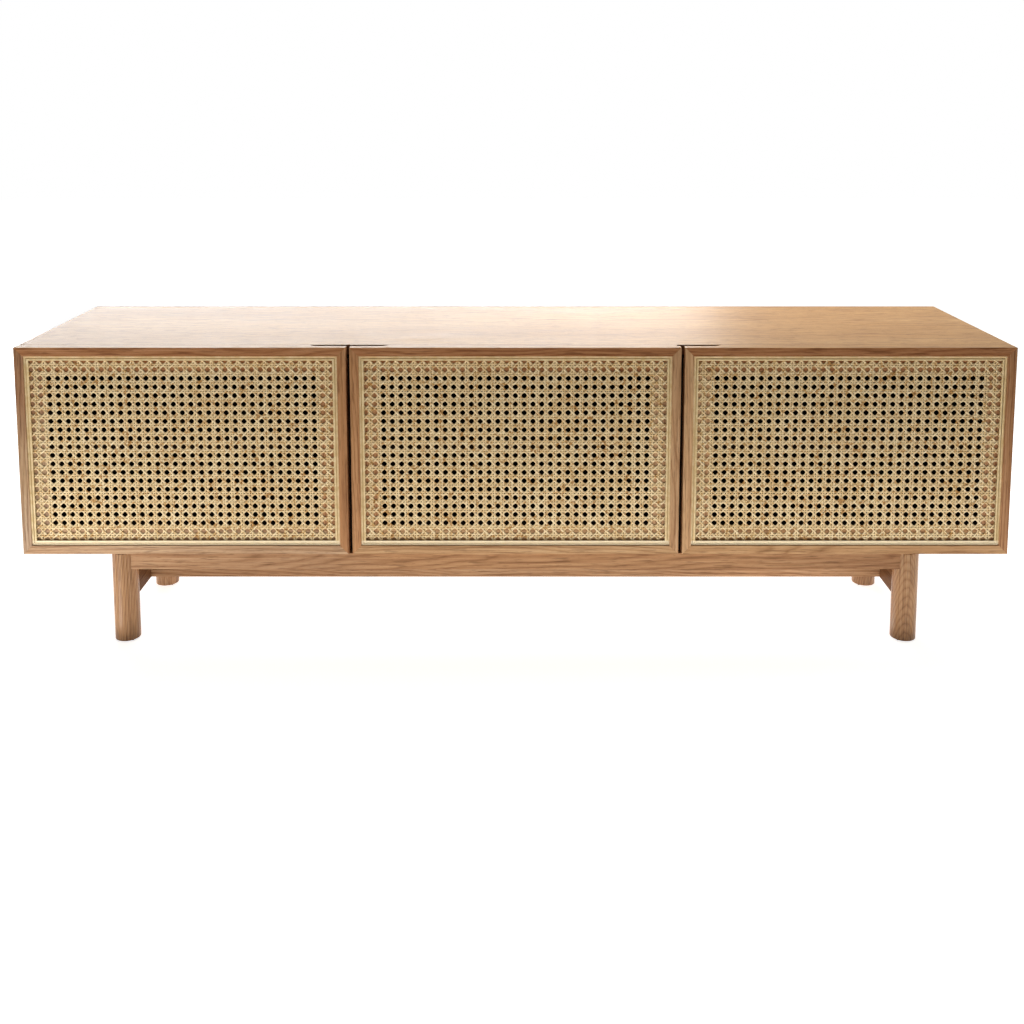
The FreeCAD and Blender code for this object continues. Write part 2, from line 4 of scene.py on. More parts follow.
import bpy
import numpy as np
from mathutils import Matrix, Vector


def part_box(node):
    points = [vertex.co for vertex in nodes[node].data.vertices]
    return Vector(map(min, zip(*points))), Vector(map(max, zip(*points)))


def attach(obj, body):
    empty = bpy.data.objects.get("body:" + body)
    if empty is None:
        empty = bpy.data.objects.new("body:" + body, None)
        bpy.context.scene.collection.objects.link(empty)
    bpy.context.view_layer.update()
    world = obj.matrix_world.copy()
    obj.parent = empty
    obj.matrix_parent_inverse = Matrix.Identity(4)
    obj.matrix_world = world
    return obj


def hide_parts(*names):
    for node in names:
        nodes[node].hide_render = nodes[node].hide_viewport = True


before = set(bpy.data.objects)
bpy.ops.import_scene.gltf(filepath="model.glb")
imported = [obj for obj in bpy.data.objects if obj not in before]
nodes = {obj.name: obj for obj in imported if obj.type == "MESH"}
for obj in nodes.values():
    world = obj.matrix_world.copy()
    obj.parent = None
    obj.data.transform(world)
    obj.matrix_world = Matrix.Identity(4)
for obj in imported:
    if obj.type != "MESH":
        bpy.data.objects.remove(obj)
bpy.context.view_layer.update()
scene = bpy.context.scene

MM = 0.001
DOORS = ("left_door", "middle_door", "right_door")


def add_piece(mesh, body):
    """Adds a mesh to the scene as a piece that rides on a body."""
    piece = bpy.data.objects.new(mesh.name, mesh)
    scene.collection.objects.link(piece)
    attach(piece, body)
    return piece


# Node helpers
def new_material(name):
    """An empty node material with its shader and its object-space coordinates."""
    material = bpy.data.materials.new(name)
    material.use_nodes = True
    tree = material.node_tree
    shader = tree.nodes["Principled BSDF"]
    coordinates = tree.nodes.new("ShaderNodeTexCoord").outputs["Object"]
    return material, tree, shader, coordinates


def add(tree, kind, inputs=None, **settings):
    """Adds a node; inputs maps socket names or indices to values or to other sockets."""
    node = tree.nodes.new("ShaderNode" + kind)
    for name, value in settings.items():
        setattr(node, name, value)
    for key, value in (inputs or {}).items():
        socket = node.inputs[key]
        if isinstance(value, bpy.types.NodeSocket):
            tree.links.new(value, socket)
        else:
            socket.default_value = value
    return node


def math_node(tree, operation, *values):
    return add(tree, "Math", dict(enumerate(values)), operation=operation).outputs[0]


def remap(tree, value, low, high, to_low=0.0, to_high=1.0):
    """A clamped straight-line remap of a value."""
    inputs = {"Value": value, "From Min": low, "From Max": high, "To Min": to_low, "To Max": to_high}
    return add(tree, "MapRange", inputs).outputs["Result"]


def noise(tree, vector, scale, detail=3.0, roughness=0.55, distortion=0.0):
    inputs = {
        "Vector": vector, "Scale": scale, "Detail": detail, "Roughness": roughness, "Distortion": distortion,
    }
    return add(tree, "TexNoise", inputs).outputs["Fac"]


def scaled(tree, vector, scale, shift=(0, 0, 0)):
    return add(tree, "Mapping", {"Vector": vector, "Location": shift, "Scale": scale}).outputs["Vector"]


def mixed(tree, factor, first, second):
    """Mixes two colours, given as sockets or as RGB."""
    node = add(tree, "Mix", data_type="RGBA")
    for index, value in ((0, factor), (6, first), (7, second)):
        socket = node.inputs[index]
        if isinstance(value, bpy.types.NodeSocket):
            tree.links.new(value, socket)
        else:
            socket.default_value = (*value, 1) if isinstance(value, tuple) else value
    return node.outputs[2]


def bump(tree, shader, height, strength, distance):
    node = add(tree, "Bump", {"Height": height, "Strength": strength, "Distance": distance})
    tree.links.new(node.outputs["Normal"], shader.inputs["Normal"])


# Wood
GRAIN_ORDER = {"X": (0, 1, 2), "Y": (1, 0, 2), "Z": (2, 0, 1)}
OAK_DARK = (0.215, 0.088, 0.031)
OAK_MID = (0.440, 0.222, 0.094)
OAK_PALE = (0.630, 0.370, 0.182)


def wood_pattern(tree, coordinates, node, axis, slope=0.015, heart=None):
    """Ring lines, streaks, fibres, pores and broad clouds of a board whose grain runs along an axis.

    The rings' heart lies at a drawn place beside the board, or at a given one.
    """
    draw = random.Random(node)
    shift = tuple(draw.uniform(-3, 3) for _ in range(3))
    low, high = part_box(node)
    middle = (low + high) / 2
    order = GRAIN_ORDER[axis]
    split = add(tree, "SeparateXYZ", {0: coordinates})
    along = add(tree, "CombineXYZ", {i: split.outputs[order[i]] for i in range(3)}).outputs[0]
    moved = scaled(tree, along, (1, 1, 1), shift)

    # Rings round a heart that lies beside the board and wanders along it
    wander = noise(tree, scaled(tree, moved, (1.5, 4, 4)), 1.0, 2.0)
    ripple = noise(tree, scaled(tree, moved, (9, 70, 70)), 1.0, 3.0)
    beside = (
        draw.choice((-1, 1)) * draw.uniform(0.03, 0.07),
        draw.choice((-1, 1)) * draw.uniform(0.025, 0.05),
    )
    lean = draw.choice((-1, 1)) * slope
    if heart:
        beside, lean = heart, slope
    centre = (0.0, beside[0] - middle[order[1]], beside[1] - middle[order[2]])
    across = add(tree, "VectorMath", {0: scaled(tree, along, (0, 1, 1), centre)}, operation="LENGTH")
    radius = math_node(tree, "MULTIPLY_ADD", wander, 0.060, across.outputs["Value"])
    radius = math_node(tree, "MULTIPLY_ADD", ripple, 0.006, radius)
    lengthwise = add(tree, "SeparateXYZ", {0: along}).outputs[0]
    radius = math_node(tree, "MULTIPLY_ADD", lengthwise, lean, radius)
    phase = math_node(tree, "FRACT", math_node(tree, "MULTIPLY", radius, draw.uniform(165, 215)))
    rings = add(tree, "ValToRGB", {0: phase})
    stops = rings.color_ramp.elements
    stops[0].position, stops[0].color = 0.0, (0.30, 0.30, 0.30, 1)
    stops[1].position, stops[1].color = 1.0, (0.42, 0.42, 0.42, 1)
    for position, level in ((0.10, 0.02), (0.26, 0.60), (0.62, 1.0), (0.86, 0.80)):
        stop = stops.new(position)
        stop.color = (level, level, level, 1)

    streaks = remap(tree, noise(tree, scaled(tree, moved, (3.2, 260, 260)), 1.0, 5.0, 0.7), 0.34, 0.66)
    fibres = noise(tree, scaled(tree, moved, (16, 900, 900)), 1.0, 2.0, 0.6)
    dashes = remap(tree, noise(tree, scaled(tree, moved, (20, 380, 380)), 1.0, 2.0, 0.6), 0.56, 0.64)
    pores = remap(tree, noise(tree, scaled(tree, moved, (75, 1500, 1500)), 1.0, 1.0), 0.62, 0.72)
    clouds = remap(tree, noise(tree, scaled(tree, moved, (1.7, 10, 10)), 1.0, 3.0), 0.3, 0.7)
    figure = remap(tree, noise(tree, scaled(tree, moved, (42, 105, 105)), 1.0, 4.0, 0.65, 0.6), 0.54, 0.66)
    return {
        "rings": rings.outputs["Color"], "streaks": streaks, "fibres": fibres,
        "dashes": dashes, "pores": pores, "clouds": clouds, "figure": figure,
    }


def oak_colour(tree, pattern, tone, figure=0.0):
    """The oak's colour; tone is the board's tint, which on some boards also paints light and shade, figure the
    strength of its short dark flecks.
    """
    level = math_node(tree, "MULTIPLY", pattern["rings"], 0.30)
    level = math_node(tree, "MULTIPLY_ADD", pattern["streaks"], 0.34, level)
    level = math_node(tree, "MULTIPLY_ADD", pattern["clouds"], 0.22, level)
    level = math_node(tree, "MULTIPLY_ADD", pattern["fibres"], 0.14, level)
    ramp = add(tree, "ValToRGB", {0: level})
    stops = ramp.color_ramp.elements
    shades = [tuple(c * t for c, t in zip(shade, tone)) for shade in (OAK_DARK, OAK_MID, OAK_PALE)]
    stops[0].position, stops[0].color = 0.15, (*shades[0], 1)
    stops[1].position, stops[1].color = 0.92, (*shades[2], 1)
    stop = stops.new(0.52)
    stop.color = (*shades[1], 1)
    dark = tuple(c * 0.62 for c in shades[0])
    colour = mixed(tree, math_node(tree, "MULTIPLY", pattern["dashes"], 0.5), ramp.outputs["Color"], dark)
    if figure:
        colour = mixed(tree, math_node(tree, "MULTIPLY", pattern["figure"], figure), colour, shades[0])
    return mixed(tree, math_node(tree, "MULTIPLY", pattern["pores"], 0.45), colour, dark)


def oak_surface(tree, shader, pattern, gloss, rough):
    """Pores and fibres as relief, with an oil finish. Returns the roughness."""
    relief = math_node(tree, "MULTIPLY_ADD", pattern["pores"], -0.7, pattern["fibres"])
    relief = math_node(tree, "MULTIPLY_ADD", pattern["dashes"], -0.5, relief)
    bump(tree, shader, relief, 0.25, 0.00025)
    shader.inputs["Specular IOR Level"].default_value = gloss
    return math_node(tree, "MULTIPLY_ADD", pattern["streaks"], 0.12, rough)


# Painted shade: near-black for the inside of the closed case, dark brown for the top's front edge in the gaps
# above the doors.
SHADE_PAINT_DARK = (0.012, 0.007, 0.005)
SHADE_PAINT_PALE = (0.042, 0.024, 0.015)
EDGE_SHADE_DARK = (0.085, 0.036, 0.017)
EDGE_SHADE_PALE = (0.150, 0.070, 0.034)


def painted_shade_colour(tree, pattern):
    """Near-black painted shade for the inside of the case, with the grain still showing."""
    level = math_node(tree, "MULTIPLY", pattern["streaks"], 0.5)
    level = math_node(tree, "MULTIPLY_ADD", pattern["fibres"], 0.5, level)
    return mixed(tree, remap(tree, level, 0.15, 0.85), SHADE_PAINT_DARK, SHADE_PAINT_PALE)


def past_limits(tree, coordinates, limits):
    """1 where a point lies past any limit; each limit is (axis, sign, place)."""
    split = add(tree, "SeparateXYZ", {0: coordinates})
    mask = None
    for side, sign, place in limits:
        operation = "GREATER_THAN" if sign > 0 else "LESS_THAN"
        past = math_node(tree, operation, split.outputs[side], place)
        mask = past if mask is None else math_node(tree, "MAXIMUM", mask, past)
    return mask


def oak(node, axis, tone, slope=0.015, heart=None, gloss=0.20, rough=0.36,
        painted_shade=(), crown=None, edge=None, figure=0.0, painted_light_drift=()):
    """Oiled oak, painted near-black past the painted-shade limits, as shade inside the case, and dark brown
    past the edge's limit, as shade in the gaps above the doors.

    crown is the tint of a rail's upper edge, figure the strength of short dark flecks. The drift entries paint
    light and shade that change along the grain: each entry is (start, end, tone at the end).
    """
    material, tree, shader, coordinates = new_material("oak_" + node)
    pattern = wood_pattern(tree, coordinates, node, axis, slope, heart)
    colour = oak_colour(tree, pattern, tone, figure)
    rough = oak_surface(tree, shader, pattern, gloss, rough)
    # Each entry paints a change of light and shade along the grain.
    for start, end, end_tone in painted_light_drift:
        along = add(tree, "SeparateXYZ", {0: coordinates}).outputs[axis]
        colour = mixed(tree, remap(tree, along, start, end), colour, oak_colour(tree, pattern, end_tone))
    if crown:
        upper = past_limits(tree, coordinates, [CROWN])
        colour = mixed(tree, upper, colour, oak_colour(tree, pattern, crown))
    # Past these limits the oak is painted near-black, as the shade inside the case.
    if painted_shade:
        mask = past_limits(tree, coordinates, painted_shade)
        colour = mixed(tree, mask, colour, painted_shade_colour(tree, pattern))
        rough = math_node(tree, "MULTIPLY_ADD", mask, 0.4, rough)
    # Past the edge's limit the oak is painted dark brown, as shade in the gaps above the doors.
    if edge:
        mask = past_limits(tree, coordinates, [edge])
        colour = mixed(tree, mask, colour, mixed(tree, pattern["streaks"], EDGE_SHADE_DARK, EDGE_SHADE_PALE))
    tree.links.new(colour, shader.inputs["Base Color"])
    tree.links.new(rough, shader.inputs["Roughness"])
    dress(node, material)


def painted_shade_board(node, axis):
    """A board painted near-black all over, as painted shade inside the case."""
    material, tree, shader, coordinates = new_material("painted_shade_" + node)
    pattern = wood_pattern(tree, coordinates, node, axis)
    tree.links.new(painted_shade_colour(tree, pattern), shader.inputs["Base Color"])
    tree.links.new(math_node(tree, "MULTIPLY_ADD", pattern["streaks"], 0.15, 0.75), shader.inputs["Roughness"])
    shader.inputs["Specular IOR Level"].default_value = 0.08
    bump(tree, shader, pattern["fibres"], 0.2, 0.0002)
    dress(node, material)


def dress(node, material):
    """Gives a CAD piece its one material."""
    mesh = nodes[node].data
    mesh.materials.clear()
    mesh.materials.append(material)


def soften(node, width, angle=35):
    """Eases a CAD piece's sharp edges."""
    item = nodes[node]
    weld = item.modifiers.new("weld", "WELD")
    weld.merge_threshold = 1e-6
    bevel = item.modifiers.new("bevel", "BEVEL")
    bevel.width = width
    bevel.segments = 2
    bevel.limit_method = "ANGLE"
    bevel.angle_limit = math.radians(angle)
    bevel.use_clamp_overlap = True
    item.modifiers.new("normals", "WEIGHTED_NORMAL").keep_sharp = False


# Case, base and door frames
# Limits are (axis, sign, place in metres); tones multiply the oak's own colours
FRONT_EDGE = ("Y", -1, -0.1750)
CROWN = ("Z", 1, 0.5546)
TOP_INSIDE = ("Z", -1, 0.5372)
BOTTOM_INSIDE = ("Z", 1, 0.1863)
LEFT_INSIDE = ("X", 1, -0.8822)
RIGHT_INSIDE = ("X", -1, 0.8822)
TOP_TONE = (0.885, 0.955, 0.875)
PLAIN_TONE = (1.0, 1.0, 1.0)
BASE_TONE = (0.92, 0.92, 0.92)
# The front rail is painted darker towards its right end, as painted shade, and duller and bluer towards its
# left end, as painted sheen.
RAIL_PAINTED_LIGHT = [(0.40, 0.68, (0.63, 0.57, 0.53)), (-0.22, -0.36, (0.81, 0.83, 0.90))]
# The centre beam's paler, bluer tint is painted light from the floor and painted sheen.
BEAM_TONE = (0.94, 1.03, 1.17)
# The side rails are painted much darker, as the shade under the case.
SIDE_RAIL_TONE = (0.34, 0.30, 0.29)
LEG_TONE = (0.74, 0.73, 0.70)
# The rear legs are painted paler and bluer than the front ones, as painted light from the floor.
REAR_LEG_TONE = (0.84, 0.88, 0.93)
LEG_SLOPE = 0.16
LEG_GRAIN = {"front_right": (0.34, (0.007, 0.040))}
LEG_FINISH = {"gloss": 0.30, "rough": 0.22}
# The top rails' tint paints them darker and redder, as painted shade; their upper faces keep the top's tone
# through the crown.
RAIL_TONE = (0.93, 0.79, 0.76)
# The bottom rails' tints paint them paler and bluer, as painted light from the floor and painted sheen.
SILL_TONES = {
    "left_door": (0.96, 1.10, 1.34), "middle_door": (1.06, 1.17, 1.24), "right_door": (1.02, 1.08, 1.08),
}
# Each stile's tint paints the light on it: the paler, bluer tints are painted sheen, the darker ones painted
# shade.
STILE_TONES = {
    "left_door_left_stile": (0.95, 1.13, 1.38), "left_door_right_stile": (1.00, 0.94, 0.90),
    "middle_door_left_stile": (1.00, 0.94, 0.90), "middle_door_right_stile": (1.08, 1.18, 1.32),
    "right_door_left_stile": (1.16, 1.26, 1.36), "right_door_right_stile": (0.86, 0.79, 0.77),
}
# The left door's outer stile is painted darker towards its top, as painted shade, and paler and bluer towards
# its bottom, as painted sheen.
STILE_PAINTED_LIGHT = {
    "left_door_left_stile": [(0.36, 0.46, (0.72, 0.69, 0.75)), (0.30, 0.21, (0.93, 1.17, 1.65))],
}
MEMBER = 0.0495
BAR_SLOPE = 0.03
TOP_FINISH = {"gloss": 0.06, "rough": 0.38}
TOP_FIGURE = 0.45
SIDE_RAIL_GLOSS = 0.02

# The top's front edge is painted dark brown, as painted shade in the gaps above the doors.
oak("top_panel", "X", TOP_TONE, **TOP_FINISH, painted_shade=[TOP_INSIDE], edge=FRONT_EDGE, figure=TOP_FIGURE)
# The panels' insides and front edges, and the dividers, back panels and shelves below, are painted near-black,
# as the shade inside the closed case.
oak("bottom_panel", "X", PLAIN_TONE, painted_shade=[BOTTOM_INSIDE, FRONT_EDGE])
oak("left_side_panel", "Z", PLAIN_TONE, painted_shade=[LEFT_INSIDE, FRONT_EDGE])
oak("right_side_panel", "Z", PLAIN_TONE, painted_shade=[RIGHT_INSIDE, FRONT_EDGE])
for side in ("left", "right"):
    painted_shade_board(side + "_divider", "Z")
    oak(side + "_side_rail", "Y", SIDE_RAIL_TONE, gloss=SIDE_RAIL_GLOSS)
for bay in ("left", "centre", "right"):
    painted_shade_board(bay + "_back_panel", "X")
    painted_shade_board(bay + "_shelf", "X")
for corner in ("front_left", "front_right", "rear_left", "rear_right"):
    lean, heart = LEG_GRAIN.get(corner, (LEG_SLOPE, None))
    tone = LEG_TONE if corner.startswith("front") else REAR_LEG_TONE
    oak(corner + "_leg", "Z", tone, lean, heart, **LEG_FINISH)
oak("front_rail", "X", BASE_TONE, slope=BAR_SLOPE, painted_light_drift=RAIL_PAINTED_LIGHT)
oak("rear_rail", "X", BASE_TONE, slope=BAR_SLOPE)
oak("centre_beam", "X", BEAM_TONE, slope=BAR_SLOPE)
for door in DOORS:
    top_low, top_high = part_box(door + "_top_rail")
    sill_low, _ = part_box(door + "_bottom_rail")
    # Past these rims each member is painted near-black, as the shade inside the case.
    rims = {
        "_top_rail": ("Z", -1, top_high.z - MEMBER),
        "_bottom_rail": ("Z", 1, sill_low.z + MEMBER),
        "_left_stile": ("X", 1, top_low.x + MEMBER),
        "_right_stile": ("X", -1, top_high.x - MEMBER),
    }
    # Painted shade: each top rail's front is darker than its upper face.
    oak(door + "_top_rail", "X", RAIL_TONE, **TOP_FINISH, painted_shade=[rims["_top_rail"]], crown=TOP_TONE)
    oak(door + "_bottom_rail", "X", SILL_TONES[door], painted_shade=[rims["_bottom_rail"]])
    for stile in ("_left_stile", "_right_stile"):
        member = door + stile
        oak(member, "Z", STILE_TONES[member], painted_shade=[rims[stile]], painted_light_drift=STILE_PAINTED_LIGHT.get(member, ()))


# Small parts
# Below BEAD_LOWEST the bead strips are painted paler, as painted light; across BEAD_GROOVE's depths the groove
# is painted darker, as painted shade.
BEAD_LOWEST = 0.1945
BEAD_GROOVE = (-0.1974, -0.1968)


def pale_bead(name):
    """Pale strip with fine fibres; its groove is painted darker as shade, and the doors' lowest strips are
    painted paler as light.
    """
    material, tree, shader, coordinates = new_material(name)
    grain = noise(tree, scaled(tree, coordinates, (90, 900, 90)), 1.0, 3.0, 0.6)
    patches = noise(tree, coordinates, 22.0, 2.0)
    colour = mixed(tree, remap(tree, grain, 0.3, 0.7), (0.68, 0.48, 0.21), (0.89, 0.71, 0.41))
    colour = mixed(tree, remap(tree, patches, 0.5, 0.8, 0.0, 0.5), colour, (0.62, 0.40, 0.16))
    split = add(tree, "SeparateXYZ", {0: coordinates})
    # Painted light: the lowest strips are painted paler.
    lowest = math_node(tree, "LESS_THAN", split.outputs["Z"], BEAD_LOWEST)
    colour = mixed(tree, math_node(tree, "MULTIPLY", lowest, 0.7), colour, (0.97, 0.82, 0.56))
    # Painted shade: the groove is painted darker with depth, except on the lowest strips.
    depth = split.outputs["Y"]
    groove = math_node(tree, "SUBTRACT", remap(tree, depth, *BEAD_GROOVE, 0.0, 0.7), lowest)
    colour = mixed(tree, math_node(tree, "MAXIMUM", groove, 0.0), colour, (0.56, 0.36, 0.13))
    tree.links.new(colour, shader.inputs["Base Color"])
    tree.links.new(remap(tree, grain, 0.2, 0.8, 0.5, 0.38), shader.inputs["Roughness"])
    bump(tree, shader, grain, 0.2, 0.0002)
    return material


def brushed_steel(name, dark, pale):
    """Steel with fine brush lines and smudges."""
    material, tree, shader, coordinates = new_material(name)
    brushed = noise(tree, scaled(tree, coordinates, (900, 60, 900)), 1.0, 3.0, 0.6)
    smudges = noise(tree, coordinates, 60.0, 3.0)
    colour = mixed(tree, smudges, dark, pale)
    rough = math_node(tree, "MULTIPLY_ADD", brushed, 0.18, remap(tree, smudges, 0.3, 0.7, 0.16, 0.26))
    tree.links.new(colour, shader.inputs["Base Color"])
    tree.links.new(rough, shader.inputs["Roughness"])
    shader.inputs["Metallic"].default_value = 1.0
    bump(tree, shader, brushed, 0.06, 0.0001)
    return material


def felt(name, dark, pale):
    """Pressed fibres, with a soft sheen."""
    material, tree, shader, coordinates = new_material(name)
    fuzz = noise(tree, coordinates, 1400.0, 4.0, 0.7)
    lumps = noise(tree, coordinates, 260.0, 2.0)
    level = math_node(tree, "MULTIPLY_ADD", lumps, 0.5, math_node(tree, "MULTIPLY", fuzz, 0.5))
    tree.links.new(mixed(tree, remap(tree, level, 0.3, 0.7), dark, pale), shader.inputs["Base Color"])
    tree.links.new(remap(tree, fuzz, 0.2, 0.8, 0.95, 0.85), shader.inputs["Roughness"])
    shader.inputs["Sheen Weight"].default_value = 0.3
    bump(tree, shader, level, 0.5, 0.0006)
    return material


bead_material = pale_bead("bead")
steel = brushed_steel("hinge_steel", (0.50, 0.49, 0.47), (0.66, 0.65, 0.63))
# Near-black steel for the screws' shallow cross recesses: painted shade standing in for the recesses' depth.
recess_shade_steel = brushed_steel("recess_shade_steel", (0.05, 0.05, 0.05), (0.10, 0.10, 0.09))
dark_steel = brushed_steel("dark_steel", (0.07, 0.066, 0.062), (0.13, 0.125, 0.118))
pad_felt = felt("pad_felt", (0.10, 0.09, 0.08), (0.22, 0.20, 0.18))
foot_felt = felt("foot_felt", (0.09, 0.06, 0.04), (0.20, 0.15, 0.11))
dress("shelf_supports", steel)
dress("foot_glides", foot_felt)
for door in DOORS:
    dress(door + "_cane_bead", bead_material)
    dress(door + "_bumpers", pad_felt)
    for part in ("cups", "pins", "arms", "plates"):
        dress(f"{door}_hinge_{part}", steel)

BOARD_ENDINGS = ("_panel", "_divider", "_shelf", "_rail", "_stile", "_beam")
BOARD_EDGE = 0.5 * MM
LEG_EDGE = 0.8 * MM
BEAD_EDGE = 0.85 * MM
for node in nodes:
    if node.endswith(BOARD_ENDINGS):
        soften(node, BOARD_EDGE)
    elif node.endswith("_leg"):
        soften(node, LEG_EDGE)
    elif node.endswith("_cane_bead"):
        soften(node, BEAD_EDGE)


# Woven cane, in mm
PITCH = 15.9
PAIR = 1.95
WIDTH = 3.2
OVER = 0.27
UNDER_DIAGONAL = 0.50
BETWEEN_PAIRS = (4.9, 7.95, 11.0)
DIAGONAL_BEND = 2.6
SECTION = ((-0.5, 0.20), (-0.24, -0.24), (0.24, -0.24), (0.5, 0.20))


def strand(points, side, width):
    """The corners and faces of one strand with a crowned section, along a line of points in mm."""
    points = np.asarray(points, float)
    count = len(points)
    ring = len(SECTION)
    corners = np.zeros((count, ring, 3))
    for i, (offset, depth) in enumerate(SECTION):
        corners[:, i] = points + np.asarray(side) * (offset * width)
        corners[:, i, 1] += depth
    start = np.arange(count - 1)[:, None] * ring
    here = np.arange(ring)[None, :]
    after = (here + 1) % ring
    faces = np.stack([start + here, start + after, start + ring + after, start + ring + here], axis=-1)
    caps = [[ring - 1 - i for i in range(ring)], [(count - 1) * ring + i for i in range(ring)]]
    return corners.reshape(-1, 3), np.concatenate([faces.reshape(-1, 4), np.array(caps)])


def straight_line(length_limit, phase, high):
    """Stations along an upright or level strand, with their depths.

    The strand passes over one strand of each crossing pair and under the next.
    """
    crossing = ((-PAIR, -high), (0, 0), (PAIR, high), *((offset, 0) for offset in BETWEEN_PAIRS))
    stations = []
    first = math.floor(-length_limit / PITCH) - 1
    for j in range(first, -first + 1):
        base = (j + phase) * PITCH
        for offset, depth in crossing:
            if abs(base + offset) < length_limit:
                stations.append((base + offset, depth))
    return [(-length_limit, 0.0)] + stations + [(length_limit, 0.0)]


def webbing_strands(half_x, half_z):
    """Every strand of one door's webbing: uprights and levels in pairs, then both sets of diagonals."""
    lines = []
    reach = math.ceil(half_x / PITCH) + 1
    for k in range(-reach, reach + 1):
        for i, shift in enumerate((-PAIR, PAIR)):
            sign = 1 if i == 0 else -1
            x = (k + 0.5) * PITCH + shift
            if abs(x) + WIDTH / 2 <= half_x:
                stations = straight_line(half_z, 0.0, OVER * sign)
                lines.append(("upright", [(x, d, z) for z, d in stations], (1, 0, 0)))
            z = k * PITCH + shift
            if abs(z) + WIDTH / 2 <= half_z:
                stations = straight_line(half_x, 0.5, -OVER * sign)
                lines.append(("level", [(x, d, z) for x, d in stations], (0, 0, -1)))
    root = math.sqrt(0.5)
    for slope in (1, -1):
        for m in range(-2 * reach, 2 * reach + 1):
            low = max(-half_x, m * PITCH - half_z)
            high = min(half_x, m * PITCH + half_z)
            if high - low < 3 * WIDTH:
                continue
            points = []
            x_values = {low: None, high: None}
            first = math.floor(low / (PITCH / 2)) - 1
            last = math.ceil(high / (PITCH / 2)) + 1
            for n in range(first, last + 1):
                for offset in (-DIAGONAL_BEND, 0.0, DIAGONAL_BEND):
                    x = n * PITCH / 2 + offset
                    if low < x < high:
                        x_values[x] = None
            for x in sorted(x_values):
                wave = math.cos(2 * math.pi * x / PITCH)
                flat = max(-1.0, min(1.0, wave * 2.0))
                points.append((x, -UNDER_DIAGONAL * slope * flat, slope * (x - m * PITCH)))
            lines.append(("diagonal", points, (root, 0, -slope * root)))
    return lines


def cane_material(name):
    """Split cane: cream strands with warm flecks, fine fibres along each strand and a low gloss."""
    material, tree, shader, coordinates = new_material(name)
    tone = add(tree, "Attribute", attribute_name="tone").outputs["Fac"]
    run = add(tree, "Attribute", attribute_name="run").outputs["Vector"]
    fibres = noise(tree, scaled(tree, run, (40, 1600, 1)), 1.0, 3.0, 0.6)
    bands = noise(tree, scaled(tree, run, (55, 30, 1)), 1.0, 3.0, 0.6)
    flecks = remap(tree, noise(tree, coordinates, 150.0, 3.0, 0.7), 0.55, 0.61)
    elsewhere = scaled(tree, coordinates, (1, 1, 1), (7, 3, 5))
    burns = remap(tree, noise(tree, elsewhere, 95.0, 2.0, 0.6), 0.62, 0.67)
    blotches = remap(tree, noise(tree, coordinates, 34.0, 3.0, 0.6), 0.54, 0.80, 0.0, 0.45)
    colour = mixed(tree, tone, (0.66, 0.45, 0.19), (0.92, 0.74, 0.45))
    colour = mixed(tree, remap(tree, bands, 0.50, 0.72, 0.0, 0.6), colour, (0.58, 0.32, 0.085))
    colour = mixed(tree, math_node(tree, "MULTIPLY", flecks, 0.85), colour, (0.46, 0.225, 0.045))
    colour = mixed(tree, math_node(tree, "MULTIPLY", burns, 0.9), colour, (0.40, 0.175, 0.022))
    colour = mixed(tree, blotches, colour, (0.58, 0.33, 0.095))
    colour = mixed(tree, remap(tree, fibres, 0.4, 0.8, 0.0, 0.35), colour, (0.56, 0.36, 0.14))
    tree.links.new(colour, shader.inputs["Base Color"])
    tree.links.new(remap(tree, fibres, 0.2, 0.8, 0.32, 0.46), shader.inputs["Roughness"])
    bump(tree, shader, fibres, 0.25, 0.00015)
    return material


cane = cane_material("cane")


def weave(door):
    """Builds a door's webbing in the place of its CAD strands, in three pieces by direction."""
    node = door + "_cane_webbing"
    low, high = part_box(node)
    centre = (low + high) / 2
    half_x = (high.x - low.x) / 2 / MM
    half_z = (high.z - low.z) / 2 / MM
    draw = random.Random(door)
    groups = {}
    for kind, points, side in webbing_strands(half_x, half_z):
        groups.setdefault(kind, []).append((points, side))
    for kind, lines in groups.items():
        vertices, faces, tones, runs = [], [], [], []
        count = 0
        for points, side in lines:
            sideways = np.asarray(side) * draw.uniform(-0.16, 0.16)
            path = np.asarray(points) + sideways
            corners, quads = strand(path, side, WIDTH * draw.uniform(0.93, 1.04))
            level = draw.uniform(0.25, 0.8) + (0.2 if kind == "diagonal" else 0.0)
            shift = draw.uniform(0, 50)
            steps = np.linalg.norm(np.diff(path, axis=0), axis=1)
            distance = np.concatenate([[0], np.cumsum(steps)]) * MM
            across = np.array([offset * WIDTH * MM for offset, _ in SECTION])
            run = np.zeros((len(path), len(SECTION), 3))
            run[:, :, 0] = distance[:, None] + shift
            run[:, :, 1] = across[None, :] + shift
            vertices.append(corners)
            faces.append(quads + count)
            tones.append(np.full(len(corners), level))
            runs.append(run.reshape(-1, 3))
            count += len(corners)
        vertices = np.concatenate(vertices) * MM + np.array(centre)
        mesh = bpy.data.meshes.new(f"{door}_cane_{kind}s")
        mesh.from_pydata(vertices.tolist(), [], np.concatenate(faces).tolist())
        tone = mesh.attributes.new("tone", "FLOAT", "POINT")
        tone.data.foreach_set("value", np.concatenate(tones))
        along = mesh.attributes.new("run", "FLOAT_VECTOR", "POINT")
        along.data.foreach_set("vector", np.concatenate(runs).ravel())
        mesh.shade_smooth()
        mesh.materials.append(cane)
        piece = add_piece(mesh, door)
        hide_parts(node)


for door in DOORS:
    weave(door)


